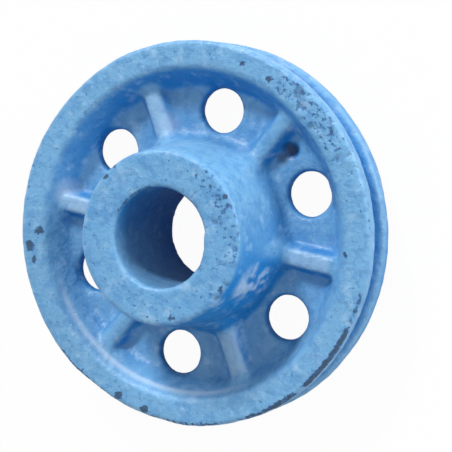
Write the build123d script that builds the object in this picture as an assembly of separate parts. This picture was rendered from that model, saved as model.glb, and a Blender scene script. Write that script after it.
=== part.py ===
from build123d import *
import os
from math import cos, radians, sin, tan

# Wire rope sheave: one sand casting with a long hub, a web with six cored
# holes between six ribs, and a heavy rim that is grooved for the rope.
#
# All sizes are in millimetres, and Z is the axis of the bore. The sheave lies
# on the back end of its hub, so Z = 0 is that face and the long end of the
# hub points up.

# ---- driving dimensions ----

# rim
rim_diameter = 254.0           # over the flanges
rim_width = 38.5               # across the two flanges
rim_corner_chamfer = 2.0       # outer corner of each flange
flange_face_width = 18.0       # from the rim's edge to where the recess wall meets the face
recess_wall_angle = 31.0       # slope of the recess wall from the axis, degrees
recess_lip_radius = 6.0        # rounding from the flange face into the recess

# rope groove
rope_diameter = 9.5
groove_clearance = 0.5         # what the seat's radius has over the rope's
groove_depth = 14.0
groove_wall_angle = 15.0       # slope of each groove wall, degrees
groove_lip_chamfer = 1.2

# web
web_thickness = 10.0
web_setback = 5.5              # how far the web lies behind the middle of the rim
web_fillet_radius = 4.0        # where the recess wall and the skirt meet the web

# hub
bore_diameter = 63.5
bore_lip_chamfer = 1.5
hub_wall = 24.25               # around the bore, at the hub's end faces
hub_front_projection = 41.0    # how far the hub stands out in front of the rim
hub_back_projection = 6.5
hub_corner_chamfer = 1.5
skirt_flare = 7.5              # how much wider the hub is where it meets the web, each side

# ribs, and the six corners of the skirt that run into them
spoke_count = 6                # ribs, skirt corners and web holes, each
first_rib_angle = 49.0         # degrees from +X
rib_top_width = 12.0
rib_draft = 14.0               # slope of a rib's sides, degrees
rib_top_radius = 3.0
rib_foot_radius = 2.5
front_rib_height = 10.0
back_rib_height = 5.0
skirt_corner_inset = 0.4       # how far the flats between the corners lie inside the skirt
skirt_corner_radius = 12.0
front_round_hub = 16.0         # how much of the hub's front end is round, past the corners
back_round_hub = 6.0

# web holes, which fill the web between the skirt and the recess wall
hole_skirt_gap = 4.5           # web left between a hole and the skirt
hole_wall_gap = 0.0            # web left between a hole and the foot of the recess wall
hole_lip_chamfer = 2.0

buried = 1.0                   # how deep a piece of the casting is sunk in its neighbour

# ---- places that follow from them ----

rim_radius = rim_diameter / 2
hub_length = hub_back_projection + rim_width + hub_front_projection
rim_back = hub_back_projection
rim_front = rim_back + rim_width
rim_middle = rim_back + rim_width / 2
web_back = rim_middle - web_setback - web_thickness / 2
web_front = web_back + web_thickness
front_recess_depth = rim_front - web_front
back_recess_depth = web_back - rim_back
hub_radius = bore_diameter / 2 + hub_wall
skirt_radius = hub_radius + skirt_flare
spoke_pitch = 360 / spoke_count


def recess_radius(depth):
    """Radius of the sloping recess wall at a depth below the flange face."""
    return rim_radius - flange_face_width - depth * tan(radians(recess_wall_angle))


def casting_section():
    """Half section of the turned form: radius along X, the axis along Y."""
    seat_radius = rope_diameter / 2 + groove_clearance
    seat_bottom = rim_radius - groove_depth
    slope = radians(groove_wall_angle)
    wall_foot = seat_bottom + seat_radius * (1 - sin(slope))
    foot_half_width = seat_radius * cos(slope)
    mouth_half_width = foot_half_width + (rim_radius - wall_foot) * tan(slope)

    seat = ThreePointArc(
        (wall_foot, rim_middle - foot_half_width),
        (seat_bottom, rim_middle),
        (wall_foot, rim_middle + foot_half_width),
    )
    groove_front = (rim_radius, rim_middle + mouth_half_width)
    groove_back = (rim_radius, rim_middle - mouth_half_width)
    flange_front = (rim_radius, rim_front)
    flange_back = (rim_radius, rim_back)
    mouth_front = (recess_radius(0), rim_front)
    mouth_back = (recess_radius(0), rim_back)
    wall_front = (recess_radius(front_recess_depth), web_front)
    wall_back = (recess_radius(back_recess_depth), web_back)
    skirt_front = (skirt_radius, web_front)
    skirt_back = (skirt_radius, web_back)
    hub_front = (hub_radius, hub_length)
    hub_back = (hub_radius, 0)
    outside = Polyline(
        seat @ 1, groove_front, flange_front, mouth_front, wall_front, skirt_front, hub_front,
        (0, hub_length), (0, 0),
        hub_back, skirt_back, wall_back, mouth_back, flange_back, groove_back, seat @ 0,
    )
    section = make_face(seat + outside)

    # turned corners are chamfered, and the ones that stay as cast are rounded
    eased = (
        (chamfer, groove_lip_chamfer, (groove_front, groove_back)),
        (chamfer, rim_corner_chamfer, (flange_front, flange_back)),
        (chamfer, hub_corner_chamfer, (hub_front, hub_back)),
        (fillet, recess_lip_radius, (mouth_front, mouth_back)),
        (fillet, web_fillet_radius, (wall_front, wall_back, skirt_front, skirt_back)),
    )
    for ease, size, corners in eased:
        for x, y in corners:
            nearest = section.vertices().sort_by_distance(Vector(x, y))[0]
            section = ease(nearest, size)
    return section


def skirt_corners(height):
    """Six ridges that stand out of the skirt above the web and fade into the round hub."""
    foot_apothem = skirt_radius - skirt_corner_inset
    # at the top, the corners lie just inside the round hub
    corner_cut = skirt_corner_radius * (1 / cos(radians(spoke_pitch / 2)) - 1)
    top_apothem = (hub_radius - buried + corner_cut) * cos(radians(spoke_pitch / 2))
    faces = []
    for apothem, level in ((foot_apothem, -buried), (top_apothem, height)):
        flats = RegularPolygon(apothem, spoke_count, major_radius=False)
        faces.append(Pos(0, 0, level) * fillet(flats.vertices(), skirt_corner_radius))
    return loft(faces, ruled=True)


def rib(height, recess_depth):
    """One rib along +X above the web, with drafted sides, a rounded top and fillets at its feet."""
    # the feet are sunk a little, so that they cut the web's face and don't just graze it
    foot_level = -buried / 5
    draft = radians(rib_draft)
    top_half = rib_top_width / 2
    foot_half = top_half + (height - foot_level) * tan(draft)
    # the rounding of the top and the fillet of the foot share the side between them
    side_length = (height - foot_level) / cos(draft)
    largest_radius = 0.48 * side_length / tan(radians(90 - rib_draft) / 2)
    reach = foot_half + 2 * rib_foot_radius
    right_half = [(top_half, height), (foot_half, foot_level), (reach, foot_level), (reach, -buried)]
    left_half = [(-x, y) for x, y in reversed(right_half)]
    section = make_face(Polyline(*right_half, *left_half, close=True))
    tops = section.vertices().filter_by(lambda v: abs(v.Y - height) < 0.001)
    section = fillet(tops, min(rib_top_radius, largest_radius))
    feet = section.vertices().filter_by(lambda v: abs(abs(v.X) - foot_half) < 0.001)
    section = fillet(feet, min(rib_foot_radius, largest_radius))
    inner_end = hub_radius - buried
    outer_end = recess_radius(recess_depth - height) + buried
    return extrude(Plane.YZ.offset(inner_end) * section, outer_end - inner_end)


def core(radius, lip, back, front):
    """What a round hole leaves open between two faces, chamfered at both, and clear past them."""
    # the chamfers' cones go on past the faces
    flare = radius + lip + buried
    past = front + buried
    short = back - buried
    edge = ((0, short), (flare, short), (radius, back + lip), (radius, front - lip), (flare, past), (0, past))
    return revolve(Plane.XZ * make_face(Polyline(*edge, close=True)), Axis.Z)


def sheave():
    front = Pos(0, 0, web_front)
    back = Pos(0, 0, web_back)
    along_ribs = Rot(0, 0, first_rib_angle)
    front_rib = rib(front_rib_height, front_recess_depth)
    back_rib = mirror(rib(back_rib_height, back_recess_depth), about=Plane.XY)
    front_corner_height = hub_length - web_front - front_round_hub
    back_corner_height = web_back - back_round_hub
    added = [
        front * along_ribs * skirt_corners(front_corner_height),
        back * along_ribs * mirror(skirt_corners(back_corner_height), about=Plane.XY),
    ]
    for turn in PolarLocations(0, spoke_count, start_angle=first_rib_angle):
        added.append(front * turn * front_rib)
        added.append(back * turn * back_rib)

    wall_foot_radius = recess_radius(front_recess_depth)
    hole_radius = (wall_foot_radius - hole_wall_gap - skirt_radius - hole_skirt_gap) / 2
    hole_circle_radius = wall_foot_radius - hole_wall_gap - hole_radius
    first_hole_angle = first_rib_angle + spoke_pitch / 2
    hole_places = PolarLocations(hole_circle_radius, spoke_count, start_angle=first_hole_angle)
    hole = core(hole_radius, hole_lip_chamfer, web_back, web_front)
    cored = [place * hole for place in hole_places]
    cored.append(core(bore_diameter / 2, bore_lip_chamfer, 0, hub_length))

    return revolve(Plane.XZ * casting_section(), Axis.Z) + added - cored


os.makedirs("parts", exist_ok=True)
export_step(sheave(), "parts/sheave.step")
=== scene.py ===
# %% [markdown]
# # Wire rope sheave
# One blue-painted sand casting, shown on a white floor. The CAD solid gives every
# size and place. This script grows a rough casting from it, with soft corners,
# lumps, pits and a dented rim, and gives it enamel that chipped off along the flange,
# with painted shade in the recesses and on undersides and painted light on faces that look up.
#
# Units are metres. Sizes below are written in millimetres times MM.

# %% Frame and sizes
from math import radians

import bpy
import numpy as np
from mathutils import Matrix, Vector, noise


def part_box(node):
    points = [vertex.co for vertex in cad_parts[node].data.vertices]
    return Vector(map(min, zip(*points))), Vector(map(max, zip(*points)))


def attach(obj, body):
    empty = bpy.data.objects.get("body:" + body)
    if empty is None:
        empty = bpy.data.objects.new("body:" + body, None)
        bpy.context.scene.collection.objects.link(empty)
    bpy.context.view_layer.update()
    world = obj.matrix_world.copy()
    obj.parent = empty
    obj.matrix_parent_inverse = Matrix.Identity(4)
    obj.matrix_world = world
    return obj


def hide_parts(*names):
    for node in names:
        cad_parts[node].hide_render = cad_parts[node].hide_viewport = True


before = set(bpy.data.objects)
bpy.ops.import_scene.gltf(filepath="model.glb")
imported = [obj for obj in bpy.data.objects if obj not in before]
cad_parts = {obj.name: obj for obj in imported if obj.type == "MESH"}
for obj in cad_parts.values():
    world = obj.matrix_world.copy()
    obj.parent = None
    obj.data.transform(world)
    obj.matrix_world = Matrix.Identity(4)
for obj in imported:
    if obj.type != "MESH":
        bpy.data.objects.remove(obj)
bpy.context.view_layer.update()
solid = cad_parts["sheave"]
low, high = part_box("sheave")

MM = 0.001
rim_radius = high.x
hub_top = high.z
rim_front = 45.0 * MM        # front flange face
hub_radius = 56.0 * MM
bore_radius = 31.75 * MM
skirt_radius = 63.5 * MM
recess_radius = 109.0 * MM   # where the recess wall meets the flange face
first_rib_angle = 49.0       # degrees from +X
spoke_count = 6
print("casting box, mm:", [round(v * 1000, 1) for v in (*low, *high)])

# %% [markdown]
# ## Camera
# It looks at the front of the wheel from a little to its right and above.

# %% Camera
face_radius = 124.8 * MM
yaw, pitch = radians(-24.67), radians(3.306)
distance = 8.5 * face_radius
turn = Matrix.Rotation(pitch, 3, "X") @ Matrix.Rotation(yaw, 3, "Y")
offset = Vector((0.2070, 0.0440, 0.0)) * face_radius

camera_data = bpy.data.cameras.new("camera")
camera_data.sensor_width = 36.0
camera_data.lens = 129.1
camera = bpy.data.objects.new("camera", camera_data)
eye = Vector((0, 0, rim_front)) + turn.transposed() @ (offset + Vector((0, 0, distance)))
camera.matrix_world = Matrix.Translation(eye) @ turn.transposed().to_4x4()
bpy.context.scene.collection.objects.link(camera)
bpy.context.scene.camera = camera
print("camera eye, mm:", [round(v * 1000, 1) for v in eye])

# %% [markdown]
# ## The rough casting
# The solid is remeshed to an even skin and smoothed, which rounds every corner as
# a sand mould does. Then each point moves along its normal by smooth noise.

# %% Skin
skin_size = 1.6 * MM


def with_modifiers(source, steps):
    """A new mesh made from a source mesh by a list of (kind, settings)."""
    work = bpy.data.objects.new("work", source)
    bpy.context.scene.collection.objects.link(work)
    for kind, settings in steps:
        modifier = work.modifiers.new(kind, kind)
        for key, value in settings.items():
            setattr(modifier, key, value)
    bpy.context.view_layer.update()
    depsgraph = bpy.context.evaluated_depsgraph_get()
    result = bpy.data.meshes.new_from_object(work.evaluated_get(depsgraph))
    bpy.data.objects.remove(work)
    return result


skin = with_modifiers(
    solid.data.copy(),
    [
        ("REMESH", {"mode": "VOXEL", "voxel_size": skin_size}),
        ("SMOOTH", {"factor": 0.5, "iterations": 5}),
    ],
)
count = len(skin.vertices)
points = np.empty(count * 3)
skin.vertices.foreach_get("co", points)
points = points.reshape(-1, 3)
normals = np.empty(count * 3)
skin.vertices.foreach_get("normal", normals)
normals = normals.reshape(-1, 3)
edges = np.empty(len(skin.edges) * 2, int)
skin.edges.foreach_get("vertices", edges)
edges = edges.reshape(-1, 2)
print("skin:", count, "points,", len(skin.polygons), "faces")

# %% [markdown]
# ## Measures over the skin
# A sand mould leaves different marks on faces, corners and recesses, so the script
# needs to know where each point lies. Weight painting could say it by hand. Arrays
# with one number per point are used, because they follow the casting when a size
# changes.

# %% Fields over the skin
radius = np.hypot(points[:, 0], points[:, 1])
angle = np.degrees(np.arctan2(points[:, 1], points[:, 0]))


def noise_field(size, seed, detail=1):
    """Smooth noise between about -1 and 1, with lumps of a given size in metres."""
    shift = Vector((seed * 3.7, seed * 1.3, -seed * 2.1))
    return np.array([noise.fractal(Vector(p) / size + shift, 0.9, 2.1, detail) for p in points])


def spread(values, rounds):
    """Averages a field with its neighbours on the skin."""
    links = np.bincount(edges.ravel(), minlength=count).clip(1)
    for _ in range(rounds):
        total = np.bincount(edges[:, 0], values[edges[:, 1]], count)
        total += np.bincount(edges[:, 1], values[edges[:, 0]], count)
        values = 0.5 * values + 0.5 * total / links
    return values


def convexity():
    """Above 0 on outer corners, below 0 in inner ones."""
    links = np.bincount(edges.ravel(), minlength=count).clip(1)
    middle = np.stack(
        [
            np.bincount(edges[:, 0], points[edges[:, 1], k], count)
            + np.bincount(edges[:, 1], points[edges[:, 0], k], count)
            for k in range(3)
        ],
        1,
    ) / links[:, None]
    return spread(((points - middle) * normals).sum(1) / skin_size, 3)


def step(values, start, end):
    """Smooth 0 to 1 between two values."""
    t = ((values - start) / (end - start)).clip(0, 1)
    return t * t * (3 - 2 * t)


def near_angle(centre, half_width):
    """1 in a sector around the axis, fading to 0 over its half width."""
    away = np.abs((angle - centre + 180) % 360 - 180)
    return 1 - step(away, 0.5 * half_width, half_width)


def around(direction, distance):
    """X and Y of a place at an angle in degrees and a distance from the bore's axis."""
    turn = np.radians(direction)
    return distance * np.cos(turn), distance * np.sin(turn)


def spot(x, y, z, size):
    """1 at a place, fading to 0 at a distance of its size."""
    away = np.linalg.norm(points - np.array((x, y, z)) * MM, axis=1)
    return 1 - step(away, 0.3 * size * MM, size * MM)


corner = convexity()

# the moulder's fillets are large between the skirt, the ribs and the rim
soft = np.stack([spread(points[:, k], 26) for k in range(3)], 1)
in_recess = step(radius, hub_radius + MM, skirt_radius)
in_recess *= 1 - step(radius, recess_radius - 4 * MM, recess_radius)
hole_pitch = 360 / spoke_count
hole_angle = (angle - first_rib_angle) % hole_pitch - hole_pitch / 2
hole_radius, hole_circle = 14.6 * MM, 82.6 * MM
from_hole = np.hypot(
    radius * np.cos(np.radians(hole_angle)) - hole_circle,
    radius * np.sin(np.radians(hole_angle)),
)
in_recess *= 0.25 + 0.75 * step(from_hole, hole_radius + 2 * MM, hole_radius + 8 * MM)
in_recess *= 1 - 0.6 * np.maximum(near_angle(-11, 14), near_angle(169, 14))
points += 0.85 * in_recess[:, None] * (soft - points)
on_flange = step(radius, recess_radius, recess_radius + 3 * MM)
on_flange *= step(points[:, 2], rim_front - 4 * MM, rim_front)
on_hub_end = step(points[:, 2], hub_top - 3 * MM, hub_top - MM)
in_bore = 1 - step(radius, bore_radius, bore_radius + 1.5 * MM)
broad = noise_field(38 * MM, 1)
lumps = noise_field(11 * MM, 2, 2)
grit = noise_field(4.5 * MM, 3, 2)

# %% [markdown]
# ## The mould's marks
# Loose sand leaves lumps, pits and small fins, and one cavity where it broke away. A
# displace modifier could do it with textures. Here each point moves along its normal
# by a height in millimetres, so that each mark has a real size.

# %% Roughness of the mould
rough = 0.25 + 0.6 * on_hub_end * near_angle(0, 75) + 0.9 * on_flange * near_angle(40, 24)
height = 0.35 * broad + 0.22 * lumps + 0.16 * grit * (0.5 + rough)
pits = step(-grit * (0.4 + 0.9 * rough) - 0.25 * lumps, 0.42, 0.75)
height -= 0.7 * pits * rough
height -= 3.0 * spot(*around(40, 86), 25, 7)
rim_edge = step(radius, rim_radius - 4 * MM, rim_radius - MM)
rim_edge *= step(points[:, 2], rim_front - 12 * MM, rim_front - 2 * MM)
height -= 1.2 * rim_edge * near_angle(-112, 22) + 0.15
fins = 0.5 * on_flange * near_angle(40, 26) + 0.6 * on_hub_end * near_angle(5, 60)
height += fins * step(lumps + 0.4 * grit, 0.1, 0.5)
moved = points + normals * (height * MM)[:, None]
inset = 0.05 * MM
moved = np.clip(moved, np.array(low) + inset, np.array(high) - inset)
moved[:, 2] = np.where(points[:, 2] < low.z + 0.8 * MM, points[:, 2].clip(low.z), moved[:, 2])
skin.vertices.foreach_set("co", moved.ravel())
skin.update()
for polygon in skin.polygons:
    polygon.use_smooth = True

# %% [markdown]
# ## Wear, painted highlights and painted shade
# Paint chips first along the flange's front edge, where the wheel is rolled and set
# down. The wear could be painted by hand on an image. It is kept as numbers on the
# points instead, placed by angle and radius, so the enamel can read it. Painted
# highlights and painted shade are kept the same way.

# %% Wear, painted highlights and painted shade, kept as point attributes for the paint
# each stretch of the front edge: direction and half width in degrees, and how worn it is
wear_sectors = (
    (-38, 16, 1.0), (-62, 14, 0.85), (-92, 20, 0.7), (-128, 18, 0.75), (-20, 8, 0.6), (8, 12, 0.45),
)
front_edge = step(radius, rim_radius - 5 * MM, rim_radius - 2 * MM)
front_edge *= step(points[:, 2], rim_front - 6 * MM, rim_front - 1.5 * MM)
worn = np.zeros(count)
for centre, half_width, amount in wear_sectors:
    worn = np.maximum(worn, amount * near_angle(centre, half_width))
chip = front_edge * worn
# each knock: direction in degrees, distance from the axis and size in mm
flange_knocks = (
    (-5, 110, 3.5), (180, 112, 5), (185, 120, 6), (190, 118, 4), (-10, 100, 2.5),
    (-115, 121, 5), (-105, 122, 5), (70, 118, 3), (60, 116, 3.5),
)
hub_knocks = ((30, 54, 3), (-35, 53, 3), (135, 54, 3.5), (125, 55, 3), (-80, 51, 3))
flange_level, hub_end_level = 45, 86    # mm
for knocks, level in ((flange_knocks, flange_level), (hub_knocks, hub_end_level)):
    for direction, distance, size in knocks:
        chip = np.maximum(chip, 1.05 * spot(*around(direction, distance), level, size))
bore_lip = on_hub_end * (1 - step(radius, bore_radius + MM, bore_radius + 3 * MM))
chip = np.maximum(chip, 0.75 * bore_lip * near_angle(125, 45))
chip = np.maximum(chip, 0.50 * on_hub_end * near_angle(20, 60) * step(radius, 38 * MM, 46 * MM))
chip = np.maximum(chip, 0.53 * on_flange * near_angle(42, 26))
chip = np.maximum(chip, 0.37 * np.maximum(on_flange, on_hub_end))


def rib_top(direction, half_width=6.5 * MM):
    """1 on the top of the rib that runs out at an angle."""
    across = np.abs(radius * np.sin(np.radians(angle - direction)))
    ahead = np.cos(np.radians(angle - direction)) > 0
    along = step(radius, 67 * MM, 72 * MM) * (1 - step(radius, 95 * MM, 99 * MM))
    high_enough = step(points[:, 2], 31 * MM, 34 * MM)
    return ahead * along * (1 - step(across, 0.8 * half_width, half_width)) * high_enough


# painted highlights, kept in one field: a pale patch on the skirt, two spots by the ribs, the rib tops and a
# line along the lower lip of the recess
smear = np.maximum(spot(*around(-30, 59), 62, 17), spot(*around(-30, 61), 47, 16))
painted_highlight = 0.75 * smear * step(broad + 0.8 * lumps + 0.5 * grit, -0.45, 0.25)
painted_highlight = np.maximum(painted_highlight, 0.5 * spot(*around(165, 101), 32, 13))
painted_highlight = np.maximum(painted_highlight, 0.5 * spot(*around(105, 75), 34, 12))
painted_highlight = np.maximum(painted_highlight, 0.32 * rib_top(-11))
painted_highlight = np.maximum(painted_highlight, 0.42 * rib_top(169))
painted_highlight = np.maximum(painted_highlight, 0.3 * np.maximum(rib_top(-71, 8 * MM), rib_top(109, 8 * MM)))
lip = np.exp(-(((radius - 105.2 * MM) / (1.3 * MM)) ** 2)) * near_angle(-115, 55)
lip *= step(points[:, 2], 35 * MM, 38 * MM)
painted_highlight = np.maximum(painted_highlight, 0.8 * lip)
# painted shade: darker colour in the casting cavity
painted_cavity_shade = np.maximum(spot(*around(40, 86), 25, 7), 0.7 * spot(*around(40, 78), 25, 6))
# painted light and shade: paler on faces turned up and out to the key light, deep blue on undersides; also
# paler on the rim's outer face, in the bore and on the upper left of the flange, and darker on the hub end
facing = 0.62 * normals[:, 1] + 0.75 * np.abs(normals[:, 2])
painted_light_and_shade = step(facing, -0.45, 0.62)
painted_light_and_shade = np.maximum(painted_light_and_shade, 0.85 * step(radius, rim_radius - 3 * MM, rim_radius - MM))
painted_light_and_shade = spread(painted_light_and_shade + 0.25 * in_bore - 0.25 * on_hub_end + 0.15 * on_flange * near_angle(150, 110), 2)
fields = {
    "chip": chip, "painted_light_and_shade": painted_light_and_shade, "corner": corner, "pit": pits,
    "bore": in_bore, "painted_highlight": painted_highlight, "painted_cavity_shade": painted_cavity_shade,
}
for name, values in fields.items():
    layer = skin.attributes.new(name, "FLOAT", "POINT")
    layer.data.foreach_set("value", values.astype(np.float32))
    print("field", name, "mean", round(float(values.mean()), 3), "most", round(float(values.max()), 3))

casting = bpy.data.objects.new("rough_casting", skin)
bpy.context.scene.collection.objects.link(casting)
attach(casting, "root")
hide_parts("sheave")

# %% [markdown]
# ## Enamel
# The finish is alkyd enamel, brushed over sand-cast iron. It is a semi-gloss dielectric,
# with the default IOR of about 1.5 and a roughness near 0.34, so it shows soft broad
# highlights. Where it chipped, oxidised iron shows, dull and dark. Light and shade are
# also painted into the colour: deep saturated blue in recesses and on undersides as
# painted shade, paler on faces that look out or up as painted light, with painted
# highlights on rib tops and corners. Image maps could hold this. Layers of colour are
# used, one over the other, so that each kind of wear or painted light is one line.

# %% Colours and nodes


def to_linear(code):
    """A hex colour as linear RGBA."""
    values = [int(code[i : i + 2], 16) / 255 for i in (1, 3, 5)]
    return [v / 12.92 if v <= 0.04045 else ((v + 0.055) / 1.055) ** 2.4 for v in values] + [1.0]


def add_node(tree, kind, inputs=None, **settings):
    """Adds a node, sets its properties, and sets or links its inputs."""
    node = tree.nodes.new(kind)
    for key, value in settings.items():
        setattr(node, key, value)
    for key, value in (inputs or {}).items():
        if isinstance(value, bpy.types.NodeSocket):
            tree.links.new(value, node.inputs[key])
        else:
            node.inputs[key].default_value = value
    return node


# %% Patterns of the enamel
enamel = bpy.data.materials.new("blue_enamel")
enamel.use_nodes = True
tree = enamel.node_tree
shader = tree.nodes["Principled BSDF"]

place = add_node(tree, "ShaderNodeTexCoord").outputs["Object"]
# size in mm and detail; orange peel and sand are coarser than real ones, so that they show
pattern_sizes = {
    "cloud": (22, 3.0), "fleck": (3.2, 3.0), "streak": (9, 6.0),
    "smear": (6, 5.0), "orange_peel": (2.6, 4.0), "sand": (5, 5.0),
}
pattern = {}
for name, (size, detail) in pattern_sizes.items():
    inputs = {"Vector": place, "Scale": 1 / (size * MM), "Detail": detail, "Roughness": 0.6}
    pattern[name] = add_node(tree, "ShaderNodeTexNoise", inputs).outputs["Fac"]
wear_and_painted_light = {name: add_node(tree, "ShaderNodeAttribute", attribute_name=name).outputs["Fac"] for name in fields}
print("patterns:", len(pattern), "fields read by the enamel:", len(wear_and_painted_light))

# %% [markdown]
# ### How much painted light and how chipped
# Recesses keep the deep blue as painted shade, found by an occlusion node from the shape alone.
# Chips follow the wear, broken up by the flecks, so that no edge of one is smooth.

# %% Painted light and shade, and chipping
reach = 42 * MM
# the occlusion darkens recesses: painted shade
openness = add_node(tree, "ShaderNodeAmbientOcclusion", {"Distance": reach}, samples=8).outputs["AO"]
limits = {"Value": openness, "From Min": 0.35, "From Max": 0.9}
exposed = add_node(tree, "ShaderNodeMapRange", limits, interpolation_type="SMOOTHSTEP").outputs[0]
painted_light_amount = add_node(tree, "ShaderNodeMath", {0: wear_and_painted_light["painted_light_and_shade"], 1: exposed}, operation="MULTIPLY").outputs[0]
unevenness = add_node(tree, "ShaderNodeMath", {0: pattern["cloud"], 1: 0.5}, operation="SUBTRACT").outputs[0]
inputs = {0: unevenness, 1: 0.5, 2: painted_light_amount}
painted_light_amount = add_node(tree, "ShaderNodeMath", inputs, operation="MULTIPLY_ADD").outputs[0]
inputs = {0: pattern["fleck"], 1: 1.6, 2: wear_and_painted_light["chip"]}
chip_level = add_node(tree, "ShaderNodeMath", inputs, operation="MULTIPLY_ADD").outputs[0]
chip_start, chip_full = 1.42, 1.70

# %% Coats of colour
# each coat: what brings it out, how it blends, where it starts and is full, how much it
# covers, and its colour
coats = (
    (painted_light_amount, "SMOOTHSTEP", 0.0, 0.95, 1.0, "#72acd8"),               # painted light: paler on lit faces, deep blue left as painted shade
    (wear_and_painted_light["corner"], "SMOOTHSTEP", 0.05, 0.22, 0.45, "#a9cdec"),     # painted highlight along outer corners
    (pattern["streak"], "SMOOTHSTEP", 0.50, 0.72, 0.45, "#a9cdec"),  # rubbed streaks
    (pattern["smear"], "SMOOTHSTEP", 0.52, 0.40, 0.35, "#3c7fc0"),   # thicker paint
    (wear_and_painted_light["painted_highlight"], "LINEAR", 0.0, 1.0, 1.0, "#b9d4ee"),             # painted highlights on the skirt, rib tops and recess lip
    (wear_and_painted_light["bore"], "LINEAR", 0.0, 1.0, 0.12, "#27517f"),             # painted shade darkening the bore
    (wear_and_painted_light["painted_cavity_shade"], "LINEAR", 0.0, 1.0, 1.0, "#143a68"),              # painted shade in the casting cavity
    (chip_level, "SMOOTHSTEP", 1.36, 1.50, 1.0, "#3d78b4"),          # broken edge of a chip
    (chip_level, "SMOOTHSTEP", chip_start, chip_full, 1.0, "#3a5876"),  # iron in a chip
    (wear_and_painted_light["pit"], "SMOOTHSTEP", 0.3, 0.9, 0.45, "#31557f"),          # darker in the pits
)
colour = to_linear("#047cc8")
for source, blend, start, full, cover, over in coats:
    limits = {"Value": source, "From Min": start, "From Max": full, "To Max": cover}
    amount = add_node(tree, "ShaderNodeMapRange", limits, interpolation_type=blend).outputs[0]
    layers = {0: amount, 6: colour, 7: to_linear(over)}
    colour = add_node(tree, "ShaderNodeMix", layers, data_type="RGBA").outputs[2]
tree.links.new(colour, shader.inputs["Base Color"])
print("coats of colour:", len(coats))

# %% Gloss and grain
enamel_roughness, iron_roughness = 0.34, 0.75
limits = {
    "Value": chip_level, "From Min": chip_start, "From Max": chip_full,
    "To Min": enamel_roughness, "To Max": iron_roughness,
}
gloss = add_node(tree, "ShaderNodeMapRange", limits, interpolation_type="SMOOTHSTEP").outputs[0]
tree.links.new(gloss, shader.inputs["Roughness"])
inputs = {0: pattern["sand"], 1: 1.6, 2: pattern["orange_peel"]}
bumps = add_node(tree, "ShaderNodeMath", inputs, operation="MULTIPLY_ADD").outputs[0]
bump = add_node(tree, "ShaderNodeBump", {"Height": bumps, "Strength": 0.85, "Distance": 0.6 * MM})
tree.links.new(bump.outputs[0], shader.inputs["Normal"])
casting.data.materials.clear()
casting.data.materials.append(enamel)
print("enamel nodes:", len(tree.nodes))

# %% [markdown]
# ## Floor
# The wheel lies on matt white paper. Lighting it to full white would wash out the
# enamel, so it glows for the camera alone and still takes a faint shadow.

# %% Floor
span = 6.0
glow_share = 0.96
floor_mesh = bpy.data.meshes.new("floor")
corners = [(-span, -span, 0), (span, -span, 0), (span, span, 0), (-span, span, 0)]
floor_mesh.from_pydata(corners, [], [(0, 1, 2, 3)])
floor = bpy.data.objects.new("floor", floor_mesh)
bpy.context.scene.collection.objects.link(floor)
paper = bpy.data.materials.new("white_paper")
paper.use_nodes = True
tree = paper.node_tree
tree.nodes.clear()
glow = add_node(tree, "ShaderNodeEmission", {"Color": (1, 1, 1, 1), "Strength": 1.0}).outputs[0]
matt = add_node(tree, "ShaderNodeBsdfDiffuse", {"Color": (0.85, 0.85, 0.85, 1)}).outputs[0]
seen = add_node(tree, "ShaderNodeLightPath").outputs["Is Camera Ray"]
share = add_node(tree, "ShaderNodeMath", {0: seen, 1: glow_share}, operation="MULTIPLY").outputs[0]
surface = add_node(tree, "ShaderNodeMixShader", {0: share, 1: matt, 2: glow}).outputs[0]
add_node(tree, "ShaderNodeOutputMaterial", {"Surface": surface})
floor_mesh.materials.append(paper)
print("floor side, m:", 2 * span)

# %% [markdown]
# ## Light
# A white room lights the casting from all sides. One broad sun from above shapes the
# recesses, and a softer one from the right shows the rim. Area lights could do it,
# but a sun gives the same light wherever the wheel lies.

# %% Room
room_strength = 0.55
world = bpy.data.worlds.new("studio")
bpy.context.scene.world = world
world.use_nodes = True
tree = world.node_tree
backdrop = tree.nodes["Background"]
backdrop.inputs["Color"].default_value = (1, 1, 1, 1)
seen = add_node(tree, "ShaderNodeLightPath").outputs["Is Camera Ray"]
inputs = {0: seen, 1: 1 - room_strength, 2: room_strength}
strength = add_node(tree, "ShaderNodeMath", inputs, operation="MULTIPLY_ADD").outputs[0]
tree.links.new(strength, backdrop.inputs["Strength"])

# %% Suns


def add_sun(name, energy, towards, spread_angle):
    """A sun that shines from a direction, with its spread in degrees."""
    data = bpy.data.lights.new(name, "SUN")
    data.energy = energy
    data.angle = radians(spread_angle)
    light = bpy.data.objects.new(name, data)
    light.rotation_euler = Vector(towards).to_track_quat("Z", "Y").to_euler()
    bpy.context.scene.collection.objects.link(light)


add_sun("key", 2.15, (-0.25, 0.85, 0.62), 10)
add_sun("side", 2.2, (0.88, 0.42, 0.10), 25)
bpy.context.scene.view_settings.view_transform = "Standard"
print("suns:", len(bpy.data.lights))
